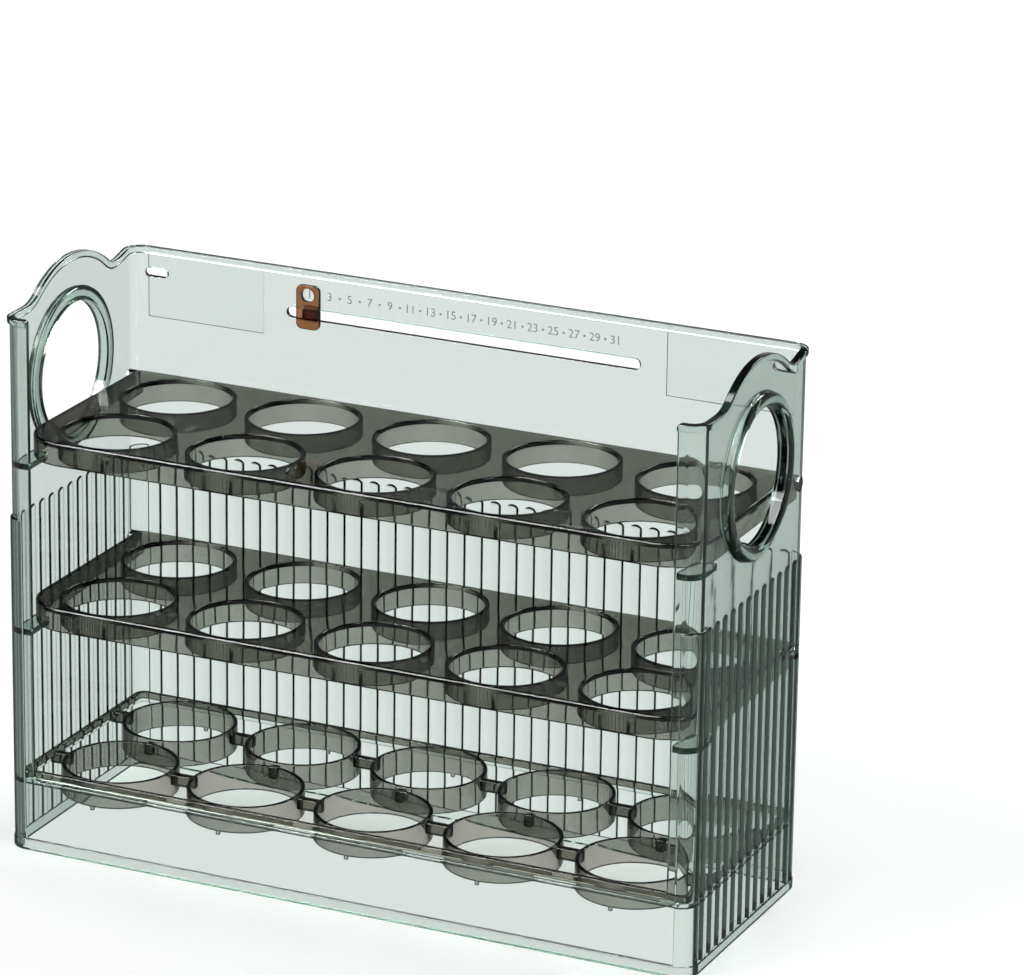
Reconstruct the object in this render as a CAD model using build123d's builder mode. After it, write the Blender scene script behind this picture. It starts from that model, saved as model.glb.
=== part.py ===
from build123d import *
import os
from math import sqrt

# Three-tier egg storage box: an open-front moulded case, two hinged egg trays that flip up,
# a fixed bottom tray and a date marker that slides along the back wall.
# Millimetres. X is the width, the front faces -Y, Z is up, the origin is the middle of the footprint.

# Egg cups
cup_columns = 5
cup_rows = 2
cup_pitch_x = 49.0
cup_pitch_y = 43.6
cup_hole_radius = 19.0
collar_wall = 1.5
collar_drop = 8.2

# Flip trays
deck_thickness = 2.0
skirt_wall = 1.6
collar_weld = 0.5
end_margin = 7.0
tray_front_radius = 16.0
tray_back_radius = 3.0
deck_edge_chamfer = 0.6

# Tray hinges
pin_radius = 2.7
pin_clearance = 0.08
pin_recess = 0.3
pin_drop = 2.4
pin_setback = 3.7
heel_clearance = 0.2

# Bottom tray
rail_width = 2.0
rail_height = 2.4
bottom_rim_rise = 2.5
bottom_collar_height = 9.3
bridge_width = 3.0
bridge_height = 4.0
bridge_drop = 0.6
pip_width = 1.2
pip_thickness = 1.2
pip_drop = 1.3

# Case shell
wall = 2.0
corner_radius = 6.0
side_gap = 1.0
front_gap = 0.6
rail_gap = 0.5
sill_height = 25.8
bottom_bay = 63.8
middle_bay = 60.0
flange_width = 9.0
window_radius = 3.0
base_bead_height = 4.2
base_bead_proud = 1.1

# Top edge of the case
post_rise = 42.9
back_rise = 44.9
hump_radius = 41.0
hump_front_blend = 14.0
hump_back_blend = 6.0
shoulder_run = 7.0
shoulder_setback = 4.0
rim_bead_height = 2.6
rim_bead_proud = 0.9
height_tolerance = 0.01

# Handle rings
ring_rise = 12.4
ring_hole_radius = 23.7
ring_band = 4.8
ring_proud = 3.0
ring_inset = 0.4
ring_crown_rise = 1.4

# Flutes on the outer faces
flute_width = 4.5
flute_pitch = 6.65
flute_proud = 0.8
flute_top_chamfer = 1.1
flute_below_ring = 12.2

# Ledges that carry the trays
corner_ledge_reach = 16.0
corner_ledge_lap = 4.0
corner_ledge_thickness = 2.2
rest_gap = 0.3
sill_ledge_width = 1.4
sill_ledge_thickness = 1.8

# Back wall details
date_scale_length = 116.0
date_slot_margin = 6.5
date_slot_height = 3.8
date_slot_drop = 15.7
hang_slot_length = 9.0
hang_slot_height = 3.0
hang_slot_drop = 9.0
hang_slot_inset = 10.0
hook_pad_width = 46.0
hook_pad_drop = 25.5
hook_pad_proud = 0.4

# Date marker
marker_width = 9.0
marker_thickness = 1.6
marker_above_slot = 11.0
marker_below_slot = 5.0
marker_corner_radius = 2.2
marker_window_radius = 2.4
marker_window_rise = 7.4
marker_clearance = 0.2
marker_stem_width = 5.0
marker_head_lip = 1.2
marker_head_thickness = 0.9

# Sizes that follow from the driving dimensions
collar_radius = cup_hole_radius + collar_wall
tray_half_width = (cup_columns - 1) * cup_pitch_x / 2 + collar_radius + end_margin
tray_front_y = -((cup_rows - 1) * cup_pitch_y / 2 + collar_radius + skirt_wall - collar_weld)
inner_half_width = tray_half_width + side_gap
inner_half_depth = front_gap - tray_front_y
outer_half_width = inner_half_width + wall
outer_half_depth = inner_half_depth + wall
middle_deck_z = sill_height + bottom_bay
top_deck_z = middle_deck_z + middle_bay
post_z = top_deck_z + post_rise
back_rim_z = top_deck_z + back_rise
ring_z = top_deck_z + ring_rise
ring_outer_radius = ring_hole_radius + ring_band
flute_top_z = ring_z - ring_outer_radius - flute_below_ring
pin_y = inner_half_depth - pin_setback
heel_reach = sqrt((pin_setback - heel_clearance) ** 2 - pin_drop ** 2)
bottom_rim_z = sill_height + bottom_rim_rise
date_slot_z = back_rim_z - date_slot_drop
date_slot_length = date_scale_length + marker_stem_width + 2 * date_slot_margin
hang_slot_z = back_rim_z - hang_slot_drop
hang_slot_x = outer_half_width - hang_slot_inset

back_face = Plane(origin=(0, outer_half_depth, 0), x_dir=(-1, 0, 0), z_dir=(0, 1, 0))
right_face = Plane(origin=(outer_half_width, 0, 0), x_dir=(0, 1, 0), z_dir=(1, 0, 0))
left_face = Plane(origin=(-outer_half_width, 0, 0), x_dir=(0, -1, 0), z_dir=(-1, 0, 0))

os.makedirs("parts", exist_ok=True)


def outline(grow):
    """Plan outline of the case, moved out from the outer wall face by grow."""
    with BuildSketch() as plan:
        RectangleRounded(
            2 * (outer_half_width + grow), 2 * (outer_half_depth + grow), corner_radius + grow
        )
    return plan.sketch


def skyline(lower):
    """Side view of everything below the case's top edge, lowered by lower."""

    def at_post_z(corner):
        return abs(corner.Y - post_z) < height_tolerance

    shoulder_end = outer_half_depth - shoulder_setback
    with BuildSketch(Plane.YZ) as side:
        with Locations((0, post_z / 2)):
            Rectangle(2 * outer_half_depth + 2 * base_bead_proud, post_z)
        with Locations((0, ring_z)):
            Circle(hump_radius)
        hump_foot = vertices().filter_by(at_post_z).sort_by(Axis.X)[1]
        fillet(hump_foot, hump_front_blend)
        hump_heel = vertices().filter_by(at_post_z).sort_by(Axis.X)[-2]
        fillet(hump_heel, hump_back_blend)
        with BuildLine():
            Polyline(
                (shoulder_end - shoulder_run, post_z - rim_bead_height),
                (shoulder_end - shoulder_run, post_z),
                (shoulder_end, back_rim_z),
                (outer_half_depth + base_bead_proud, back_rim_z),
                (outer_half_depth + base_bead_proud, post_z - rim_bead_height),
                close=True,
            )
        make_face()
    return Pos(0, 0, -lower) * side.sketch


def flute_row(count, height):
    """Row of flutes with bevelled tops, in the plane of the wall that carries them."""
    with BuildSketch() as flute:
        with Locations((0, height / 2)):
            Rectangle(flute_width, height)
        chamfer(vertices().group_by(Axis.Y)[-1], flute_top_chamfer)
    with BuildSketch() as row:
        with GridLocations(flute_pitch, 0, count, 1):
            add(flute.sketch)
    return row.sketch


def flute_count(flat_length):
    """Number of flutes that fit on the flat of a wall."""
    return int((flat_length - flute_width) / flute_pitch) + 1


# The sleeve: four walls with rounded corners, cut to the skyline, bead along the top and the base
top_z = ring_z + hump_radius
rim_band = skyline(0) - skyline(rim_bead_height)
with BuildPart() as rim_bead:
    add(outline(rim_bead_proud) - outline(-wall))
    extrude(amount=top_z)
    extrude(rim_band, amount=outer_half_width + rim_bead_proud, both=True, mode=Mode.INTERSECT)

with BuildPart() as case:
    add(outline(0) - outline(-wall))
    extrude(amount=top_z)
    extrude(skyline(0), amount=outer_half_width, both=True, mode=Mode.INTERSECT)
    add(rim_bead.part)

    add(outline(base_bead_proud) - outline(-wall))
    extrude(amount=base_bead_height)

    # The ledge all round that the bottom tray lies on
    with BuildSketch(Plane.XY.offset(sill_height)):
        add(outline(-wall) - outline(-wall - sill_ledge_width))
    extrude(amount=-sill_ledge_thickness)

    # The front window, between the two inward flanges and above the sill
    window_width = 2 * (outer_half_width - flange_width)
    window_height = top_z - sill_height
    with BuildSketch(Plane.XZ.offset(inner_half_depth - sill_ledge_width)):
        with Locations((0, sill_height + window_height / 2)):
            Rectangle(window_width, window_height)
        fillet(vertices().group_by(Axis.Y)[0], window_radius)
    extrude(amount=wall + sill_ledge_width + rim_bead_proud, mode=Mode.SUBTRACT)

    # Corner ledges under the front corners of the flip trays
    for deck_z in (middle_deck_z, top_deck_z):
        ledge_z = deck_z - collar_drop - rest_gap
        with BuildSketch(Plane.XY.offset(ledge_z)):
            add(outline(-wall / 2))
            with Locations((0, -outer_half_depth + corner_ledge_reach / 2)):
                Rectangle(2 * outer_half_width, corner_ledge_reach, mode=Mode.INTERSECT)
            Rectangle(window_width, 2 * outer_half_depth, mode=Mode.SUBTRACT)
            arc_x = tray_half_width - tray_front_radius
            arc_y = tray_front_y + tray_front_radius
            with Locations((-arc_x, arc_y), (arc_x, arc_y)):
                Circle(tray_front_radius - corner_ledge_lap, mode=Mode.SUBTRACT)
        extrude(amount=-corner_ledge_thickness)

    # Handle rings, a rounded collar round each hand hole
    ring_root_x = outer_half_width - wall - ring_inset
    ring_shoulder_x = outer_half_width + ring_proud - ring_crown_rise
    ring_crown_x = outer_half_width + ring_proud
    ring_low_z = ring_z + ring_hole_radius
    ring_high_z = ring_z + ring_outer_radius
    for side in (-1, 1):
        with BuildSketch(Plane.XZ):
            with BuildLine():
                Polyline(
                    (side * ring_shoulder_x, ring_low_z),
                    (side * ring_root_x, ring_low_z),
                    (side * ring_root_x, ring_high_z),
                    (side * ring_shoulder_x, ring_high_z),
                )
                ThreePointArc(
                    (side * ring_shoulder_x, ring_low_z),
                    (side * ring_crown_x, (ring_low_z + ring_high_z) / 2),
                    (side * ring_shoulder_x, ring_high_z),
                )
            make_face()
        revolve(axis=Axis((0, 0, ring_z), (1, 0, 0)))
    with BuildSketch(Plane.YZ):
        with Locations((0, ring_z)):
            Circle(ring_hole_radius)
    extrude(amount=outer_half_width + ring_proud, both=True, mode=Mode.SUBTRACT)

    # Flutes on both sides and the back, and a raised band as high as they are round each corner
    flute_height = flute_top_z - base_bead_height
    side_flutes = flute_count(2 * (outer_half_depth - corner_radius))
    back_flutes = flute_count(2 * (outer_half_width - corner_radius))
    for face, count in ((left_face, side_flutes), (right_face, side_flutes), (back_face, back_flutes)):
        with BuildSketch(face):
            with Locations((0, base_bead_height)):
                add(flute_row(count, flute_height))
        extrude(amount=flute_proud)
    with BuildSketch(Plane.XY.offset(base_bead_height)):
        add(outline(flute_proud) - outline(0))
        Rectangle(2 * (outer_half_width - corner_radius), 4 * outer_half_depth, mode=Mode.SUBTRACT)
        Rectangle(4 * outer_half_width, 2 * (outer_half_depth - corner_radius), mode=Mode.SUBTRACT)
    extrude(amount=flute_height)

    # Hook pads on the back with the hanging slots through them
    pad_height = hook_pad_drop - rim_bead_height
    pad_x = outer_half_width - corner_radius - hook_pad_width / 2
    with BuildSketch(back_face):
        with Locations(*[(s * pad_x, back_rim_z - hook_pad_drop + pad_height / 2) for s in (-1, 1)]):
            Rectangle(hook_pad_width, pad_height)
    extrude(amount=hook_pad_proud)
    with BuildSketch(back_face.offset(hook_pad_proud)):
        with Locations((-hang_slot_x, hang_slot_z), (hang_slot_x, hang_slot_z)):
            SlotOverall(hang_slot_length, hang_slot_height)
        with Locations((0, date_slot_z)):
            SlotOverall(date_slot_length, date_slot_height)
    extrude(amount=-(wall + hook_pad_proud), mode=Mode.SUBTRACT)

    # Hinge holes for the pins of both flip trays
    with BuildSketch(Plane.YZ):
        with Locations((pin_y, middle_deck_z - pin_drop), (pin_y, top_deck_z - pin_drop)):
            Circle(pin_radius + pin_clearance)
    extrude(amount=outer_half_width + flute_proud, both=True, mode=Mode.SUBTRACT)

case.part.label = "case"
export_step(case.part, "parts/case.step")


def flip_tray(deck_z):
    """Hinged tray: a deck with ten collared egg cups, a skirt all round and a hinge pin at each end."""
    tray_back_y = pin_y + heel_reach
    tray_depth = tray_back_y - tray_front_y
    with BuildPart() as tray:
        with BuildSketch(Plane.XY.offset(deck_z)) as plan:
            with Locations((0, (tray_front_y + tray_back_y) / 2)):
                Rectangle(2 * tray_half_width, tray_depth)
            fillet(vertices().group_by(Axis.Y)[0], tray_front_radius)
            fillet(vertices().group_by(Axis.Y)[-1], tray_back_radius)
        extrude(amount=-deck_thickness)
        chamfer(edges().group_by(Axis.Z)[-1], deck_edge_chamfer)
        with BuildSketch(Plane.XY.offset(deck_z - deck_thickness)):
            add(plan.sketch.face().moved(Location((0, 0, -deck_thickness))))
            offset(amount=-skirt_wall, mode=Mode.SUBTRACT)
            with Locations((0, tray_back_y)):
                Rectangle(2 * (tray_half_width - skirt_wall), 2 * skirt_wall, mode=Mode.SUBTRACT)
        extrude(amount=-(collar_drop - deck_thickness))
        with BuildSketch(Plane.XY.offset(deck_z - deck_thickness)):
            with GridLocations(cup_pitch_x, cup_pitch_y, cup_columns, cup_rows):
                Circle(collar_radius)
        extrude(amount=-(collar_drop - deck_thickness))
        with BuildSketch(Plane.XY.offset(deck_z)):
            with GridLocations(cup_pitch_x, cup_pitch_y, cup_columns, cup_rows):
                Circle(cup_hole_radius)
        extrude(amount=-collar_drop, mode=Mode.SUBTRACT)
        pin_reach = outer_half_width - pin_recess
        with BuildSketch(Plane.YZ.offset(tray_half_width - skirt_wall)):
            with Locations((pin_y, deck_z - pin_drop)):
                Circle(pin_radius)
        extrude(amount=pin_reach - tray_half_width + skirt_wall)
        with BuildSketch(Plane.YZ.offset(-tray_half_width + skirt_wall)):
            with Locations((pin_y, deck_z - pin_drop)):
                Circle(pin_radius)
        extrude(amount=-(pin_reach - tray_half_width + skirt_wall))
    return tray.part


top_tray = flip_tray(top_deck_z)
top_tray.label = "top_tray"
export_step(top_tray, "parts/top_tray.step")

middle_tray = flip_tray(middle_deck_z)
middle_tray.label = "middle_tray"
export_step(middle_tray, "parts/middle_tray.step")

# Bottom tray: ten open collars tied by bridges inside a thin rail that lies on the sill ledge
with BuildPart() as bottom_tray:
    with BuildSketch(Plane.XY.offset(sill_height + rail_height)):
        add(outline(-wall - rail_gap) - outline(-wall - rail_gap - rail_width))
    extrude(amount=-rail_height)
    with BuildSketch(Plane.XY.offset(bottom_rim_z)):
        with GridLocations(cup_pitch_x, cup_pitch_y, cup_columns, cup_rows):
            Circle(collar_radius)
    extrude(amount=-bottom_collar_height)
    with BuildSketch(Plane.XY.offset(bottom_rim_z - bridge_drop)):
        with GridLocations(0, cup_pitch_y, 1, cup_rows):
            Rectangle(2 * (inner_half_width - rail_gap - rail_width / 2), bridge_width)
        with GridLocations(cup_pitch_x, 0, cup_columns, 1):
            Rectangle(bridge_width, (cup_rows - 1) * cup_pitch_y)
    extrude(amount=-bridge_height)
    with BuildSketch(Plane.XY.offset(bottom_rim_z)):
        with GridLocations(cup_pitch_x, cup_pitch_y, cup_columns, cup_rows):
            Circle(cup_hole_radius)
    extrude(amount=-bottom_collar_height, mode=Mode.SUBTRACT)
    # Pips below the collars, at the front and the back of the tray
    pip_y = (cup_rows - 1) * cup_pitch_y / 2 + cup_hole_radius + collar_wall / 2
    with BuildSketch(Plane.XY.offset(bottom_rim_z - bottom_collar_height + pip_drop)):
        with GridLocations(cup_pitch_x, 2 * pip_y, cup_columns, 2):
            Rectangle(pip_width, pip_thickness)
    extrude(amount=-2 * pip_drop)

bottom_tray.part.label = "bottom_tray"
export_step(bottom_tray.part, "parts/bottom_tray.step")

# Date marker: a tab with a round window in front of the wall, a stem through the slot, a snap head behind
with BuildPart() as date_marker:
    marker_x = -date_scale_length / 2
    plate_back_y = inner_half_depth - marker_clearance
    stem_height = date_slot_height - 2 * marker_clearance
    with BuildSketch(Plane.XZ.offset(-plate_back_y)):
        plate_height = marker_above_slot + marker_below_slot
        with Locations((marker_x, date_slot_z + marker_above_slot - plate_height / 2)):
            RectangleRounded(marker_width, plate_height, marker_corner_radius)
        with Locations((marker_x, date_slot_z + marker_window_rise)):
            Circle(marker_window_radius, mode=Mode.SUBTRACT)
    extrude(amount=marker_thickness)
    head_front_y = outer_half_depth + marker_clearance
    with BuildSketch(Plane.XZ.offset(-plate_back_y)):
        with Locations((marker_x, date_slot_z)):
            Rectangle(marker_stem_width, stem_height)
    extrude(amount=-(head_front_y - plate_back_y))
    with BuildSketch(Plane.XZ.offset(-head_front_y)):
        with Locations((marker_x, date_slot_z)):
            Rectangle(marker_stem_width, stem_height + 2 * marker_head_lip)
    extrude(amount=-marker_head_thickness)

date_marker.part.label = "date_marker"
export_step(date_marker.part, "parts/date_marker.step")
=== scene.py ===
"""Looks of the egg storage box: clear moulded plastics, date scale, studio and camera."""

import logging
import math
from dataclasses import dataclass, field
from enum import Enum

import bmesh
import bpy
import numpy as np
from mathutils import Matrix, Vector
from mathutils.geometry import delaunay_2d_cdt

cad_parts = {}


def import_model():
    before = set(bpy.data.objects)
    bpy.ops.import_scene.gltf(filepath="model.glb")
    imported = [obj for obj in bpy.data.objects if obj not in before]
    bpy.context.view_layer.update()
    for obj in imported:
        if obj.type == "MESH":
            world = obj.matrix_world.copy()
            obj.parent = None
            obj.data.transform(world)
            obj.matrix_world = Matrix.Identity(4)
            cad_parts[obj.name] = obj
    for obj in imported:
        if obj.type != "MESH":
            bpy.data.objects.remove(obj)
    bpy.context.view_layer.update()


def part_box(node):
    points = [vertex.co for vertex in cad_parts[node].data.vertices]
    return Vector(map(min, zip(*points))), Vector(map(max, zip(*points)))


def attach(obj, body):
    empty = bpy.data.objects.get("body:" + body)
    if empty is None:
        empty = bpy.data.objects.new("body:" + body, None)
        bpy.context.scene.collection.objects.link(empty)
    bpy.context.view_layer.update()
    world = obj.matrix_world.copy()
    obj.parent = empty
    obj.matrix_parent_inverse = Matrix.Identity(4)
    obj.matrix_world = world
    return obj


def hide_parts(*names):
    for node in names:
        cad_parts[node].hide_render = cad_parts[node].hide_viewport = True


LOG = logging.getLogger("egg_box")
MM = 0.001
Socket = bpy.types.NodeSocket
WHITE = (1.0, 1.0, 1.0, 1.0)
# Angles of the points that carry a surface round an edge.
QUARTER = np.radians([0.0, 30.0, 60.0, 90.0])
# Points of a quarter circle in an outline.
CORNER_POINTS = 9


class Tier(Enum):
    """Place of a flip tray in the box."""

    TOP = "top"
    MIDDLE = "middle"


class Row(Enum):
    """Row of egg cups, by its side of the tray's middle."""

    FRONT = -1
    BACK = 1


@dataclass(frozen=True)
class Wiring:
    """Node tree of a material or of the surround, built up node by node."""

    tree: bpy.types.NodeTree

    @classmethod
    def of(cls, owner: bpy.types.ID) -> "Wiring":
        """Empties the node tree of a material or world.

        Args:
            owner: The material or world.

        Returns:
            The wiring of its tree.
        """
        owner.use_nodes = True
        owner.node_tree.nodes.clear()
        return cls(owner.node_tree)

    def add(self, kind: str, inputs: dict | None = None, **options: str) -> bpy.types.Node:
        """Adds a node.

        Args:
            kind: Its type.
            inputs: Sockets and constants for its inputs, by the input's name or number.
            options: Its settings.

        Returns:
            The new node.
        """
        node = self.tree.nodes.new(kind)
        for option, choice in options.items():
            setattr(node, option, choice)
        for key, value in (inputs or {}).items():
            if isinstance(value, Socket):
                self.tree.links.new(value, node.inputs[key])
            else:
                node.inputs[key].default_value = value
        return node

    def maths(self, operation: str, *terms: Socket | float) -> Socket:
        """Works out one value from sockets and numbers."""
        inputs = dict(enumerate(terms))
        return self.add("ShaderNodeMath", inputs, operation=operation).outputs["Value"]

    def step(self, value: Socket, edge: tuple, levels: tuple) -> Socket:
        """Smooth step from the first level to the second, while the value crosses the edge.

        Args:
            value: What steps it.
            edge: Where it starts and ends, in the value.
            levels: Its level before and after.

        Returns:
            The level.
        """
        names = ("From Min", "From Max", "To Min", "To Max")
        inputs = {"Value": value, **dict(zip(names, edge + levels))}
        ramp = self.add("ShaderNodeMapRange", inputs, interpolation_type="SMOOTHSTEP")
        return ramp.outputs["Result"]

    def mix(self, share: Socket, first: Socket, second: Socket) -> Socket:
        """Mixes two shaders: all of the first at a share of zero, all of the second at one."""
        return self.add("ShaderNodeMixShader", {0: share, 1: first, 2: second}).outputs["Shader"]

    def noise(self, scale: float) -> Socket:
        """Soft noise that is fixed to the piece, with this many swells in a metre."""
        place = self.add("ShaderNodeTexCoord").outputs["Object"]
        return self.add("ShaderNodeTexNoise", {"Vector": place, "Scale": scale}).outputs["Fac"]


@dataclass(frozen=True)
class ClearPlastic:
    """Tinted see-through plastic: a gloss skin over a body that takes colour from light in it.

    The tint is what one metre of the plastic would take, so thin walls stay pale and edges turn
    deep. The shade is what a lamp's light keeps at each face that it crosses on its way to the
    floor. The roughness is that of the glossiest and of the dullest spots.
    """

    name: str
    slot: str
    absorb_colour: tuple
    absorb_density: float
    shade: tuple
    index: float = 1.58
    roughness: tuple = (0.02, 0.04)
    flow_scale: float = 60.0
    flow_bump: float = 0.00002

    def material(self) -> bpy.types.Material:
        """Builds the node material.

        Returns:
            The new material, with flow marks and small differences of gloss from the mould.
        """
        material = bpy.data.materials.new(self.name)
        wiring = Wiring.of(material)
        flow = wiring.noise(self.flow_scale)
        gloss = wiring.add("ShaderNodeMapRange", {
            "Value": flow, "To Min": self.roughness[0], "To Max": self.roughness[1],
        })
        bump = wiring.add("ShaderNodeBump", {"Height": flow, "Distance": self.flow_bump})
        skin = wiring.add("ShaderNodeBsdfPrincipled", {
            "Base Color": WHITE,
            "IOR": self.index,
            "Transmission Weight": 1.0,
            "Roughness": gloss.outputs["Result"],
            "Normal": bump.outputs["Normal"],
        }).outputs["BSDF"]
        shade = {"Color": (*self.shade, 1.0)}
        passing = wiring.add("ShaderNodeBsdfTransparent", shade).outputs["BSDF"]
        path = wiring.add("ShaderNodeLightPath").outputs
        tint = {"Color": (*self.absorb_colour, 1.0), "Density": self.absorb_density}
        wiring.add("ShaderNodeOutputMaterial", {
            "Surface": wiring.mix(path["Is Shadow Ray"], skin, passing),
            "Volume": wiring.add("ShaderNodeVolumeAbsorption", tint).outputs["Volume"],
        })
        return material


@dataclass(frozen=True)
class MattRelief:
    """Matt grey face of the moulded scale, a little uneven as an etched mould leaves it."""

    name: str = "scale_relief"
    slot: str = "case_plastic"
    thin: tuple = (0.34, 0.39, 0.37, 1.0)
    full: tuple = (0.24, 0.28, 0.27, 1.0)
    patch_edges: tuple = (0.35, 0.65)
    patch_scale: float = 900.0
    roughness: float = 0.55

    def material(self) -> bpy.types.Material:
        """Builds the node material.

        Returns:
            The new material.
        """
        material = bpy.data.materials.new(self.name)
        wiring = Wiring.of(material)
        colour = wiring.add("ShaderNodeValToRGB", {"Fac": wiring.noise(self.patch_scale)})
        greys = (self.thin, self.full)
        for stop, edge, grey in zip(colour.color_ramp.elements, self.patch_edges, greys):
            stop.position = edge
            stop.color = grey
        skin = wiring.add("ShaderNodeBsdfPrincipled", {
            "Base Color": colour.outputs["Color"], "Roughness": self.roughness,
        })
        wiring.add("ShaderNodeOutputMaterial", {"Surface": skin.outputs["BSDF"]})
        return material


CASE_PLASTIC = ClearPlastic(
    "case_clear_green", "case_plastic", (0.24, 0.47, 0.37), 165.0, (0.92, 0.95, 0.93)
)
TRAY_PLASTIC = ClearPlastic(
    "tray_smoke", "tray_plastic", (0.10, 0.12, 0.02), 700.0, (0.72, 0.74, 0.72)
)
MARKER_PLASTIC = ClearPlastic(
    "marker_amber", "marker_plastic", (0.64, 0.33, 0.02), 1600.0, (0.80, 0.60, 0.40)
)
SCALE_RELIEF = MattRelief()


@dataclass
class Studio:
    """White studio: a pale floor, soft lamps, a white surround and the photograph's camera.

    Edges are where a step of light starts and ends, on a scale that its own method names.
    """

    eye: tuple = (0.7965, -1.6469, 0.7650)
    azimuth: float = 24.661
    elevation: float = 18.907
    roll: float = 0.828
    focal_pixels: float = 5710.332
    picture_width: float = 1024.0
    sensor: float = 36.0
    clip: tuple = (0.05, 50.0)
    floor_size: float = 8.0
    floor_drop: float = 0.0002
    floor_colour: tuple = (0.80, 0.80, 0.80, 1.0)
    glow_reach: tuple = (0.4, 1.8)
    floor_glow: tuple = (0.20, 0.58)
    flags: float = 4.0
    flag_edge: tuple = (-0.75, -0.35)
    flag_level: float = 0.55
    ceiling_edge: tuple = (0.08, 0.45)
    ceiling_level: float = 0.12
    ground_edge: tuple = (-0.80, -0.50)
    ground_level: float = 0.15
    mirror_level: float = 0.38
    softbox_way: tuple = (-0.40, -0.35, 0.85)
    softbox_edge: tuple = (0.88, 0.92)
    softbox_level: float = 7.0
    room_level: float = 0.55
    lamps: tuple = (
        ("key_lamp", (-0.9, -1.0, 1.3), 0.7, 14.0),
        ("fill_lamp", (1.3, -0.6, 0.9), 0.6, 7.0),
        ("back_lamp", (0.3, 1.2, 1.1), 0.6, 8.0),
    )
    lamp_aim: tuple = (0.0, 0.0, 0.1)

    def camera(self) -> None:
        """Places the camera that was fitted to the photograph."""
        az, el, roll = (math.radians(a) for a in (self.azimuth, self.elevation, self.roll))
        back = Vector((math.sin(az) * math.cos(el), -math.cos(az) * math.cos(el), math.sin(el)))
        level = Vector((math.cos(az), math.sin(az), 0.0))
        upright = back.cross(level)
        right = math.cos(roll) * level + math.sin(roll) * upright
        up = math.cos(roll) * upright - math.sin(roll) * level
        lens = bpy.data.cameras.new("camera")
        lens.sensor_fit = "HORIZONTAL"
        lens.sensor_width = self.sensor
        lens.lens = self.focal_pixels / self.picture_width * self.sensor
        lens.clip_start, lens.clip_end = self.clip
        camera = bpy.data.objects.new("camera", lens)
        turn = Matrix((right, up, back)).transposed()
        camera.matrix_world = Matrix.Translation(self.eye) @ turn.to_4x4()
        bpy.context.scene.collection.objects.link(camera)
        bpy.context.scene.camera = camera

    def floor(self) -> None:
        """Makes the pale floor, which glows a little more far from the lamps to stay plain.

        The glow steps up with the distance from the box's middle. Rays that come through the
        plastic or mirror off it pass on to the surround.
        """
        half = self.floor_size / 2
        corners = [(-half, -half, 0.0), (half, -half, 0.0), (half, half, 0.0), (-half, half, 0.0)]
        mesh = bpy.data.meshes.new("floor")
        mesh.from_pydata(corners, [], [(0, 1, 2, 3)])
        floor = bpy.data.objects.new("floor", mesh)
        floor.location.z = -self.floor_drop
        bpy.context.scene.collection.objects.link(floor)
        material = bpy.data.materials.new("floor_white")
        wiring = Wiring.of(material)
        place = wiring.add("ShaderNodeTexCoord").outputs["Object"]
        away = wiring.add("ShaderNodeVectorMath", {0: place}, operation="LENGTH").outputs["Value"]
        strength = wiring.step(away, self.glow_reach, self.floor_glow)
        glow = wiring.add("ShaderNodeEmission", {"Strength": strength}).outputs["Emission"]
        matt = wiring.add("ShaderNodeBsdfDiffuse", {"Color": self.floor_colour}).outputs["BSDF"]
        both = wiring.add("ShaderNodeAddShader", {0: matt, 1: glow}).outputs["Shader"]
        passing = wiring.add("ShaderNodeBsdfTransparent").outputs["BSDF"]
        path = wiring.add("ShaderNodeLightPath").outputs
        seen = wiring.mix(path["Is Camera Ray"], matt, both)
        bent = wiring.maths("MAXIMUM", path["Is Transmission Ray"], path["Is Glossy Ray"])
        wiring.add("ShaderNodeOutputMaterial", {"Surface": wiring.mix(bent, seen, passing)})
        mesh.materials.append(material)

    def surround(self) -> None:
        """Makes the white surround, with grey flags, a dark ceiling and dark ground.

        These only show in rays that the plastic bends or mirrors, and draw the dark lines of its
        edges. Mirrored rays see the whole surround darker, except a bright soft box above the left,
        which lights the upper edges. The flags step with the cosine of four times the heading from
        the view, so they stand between its quarters. The ceiling and the ground step with the
        height of the ray, and the soft box with the ray's share along its way.
        """
        world = bpy.data.worlds.new("surround")
        bpy.context.scene.world = world
        wiring = Wiring.of(world)
        way = wiring.add("ShaderNodeTexCoord").outputs["Generated"]
        parts = wiring.add("ShaderNodeSeparateXYZ", {"Vector": way}).outputs
        path = wiring.add("ShaderNodeLightPath").outputs
        heading = wiring.maths("ARCTAN2", parts["Y"], parts["X"])
        turned = wiring.maths("SUBTRACT", heading, math.radians(self.azimuth + 90.0))
        wave = wiring.maths("COSINE", wiring.maths("MULTIPLY", turned, self.flags))
        level = 1.0
        for value, edge, levels in (
            (path["Glossy Depth"], (0.0, 1.0), (1.0, self.mirror_level)),
            (wave, self.flag_edge, (self.flag_level, 1.0)),
            (parts["Z"], self.ceiling_edge, (1.0, self.ceiling_level)),
            (parts["Z"], self.ground_edge, (self.ground_level, 1.0)),
        ):
            level = wiring.maths("MULTIPLY", wiring.step(value, edge, levels), level)
        both_ways = {0: way, 1: self.softbox_way}
        toward = wiring.add("ShaderNodeVectorMath", both_ways, operation="DOT_PRODUCT")
        levels = (0.0, self.softbox_level)
        softbox = wiring.step(toward.outputs["Value"], self.softbox_edge, levels)
        lights = (wiring.maths("ADD", level, softbox), self.room_level, 1.0)
        plain = [{"Color": WHITE, "Strength": light} for light in lights]
        seen, room, white = (
            wiring.add("ShaderNodeBackground", inputs).outputs["Background"] for inputs in plain
        )
        bent = wiring.maths("MAXIMUM", path["Is Transmission Ray"], path["Is Glossy Ray"])
        shown = wiring.mix(path["Is Camera Ray"], wiring.mix(bent, room, seen), white)
        wiring.add("ShaderNodeOutputWorld", {"Surface": shown})

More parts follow.
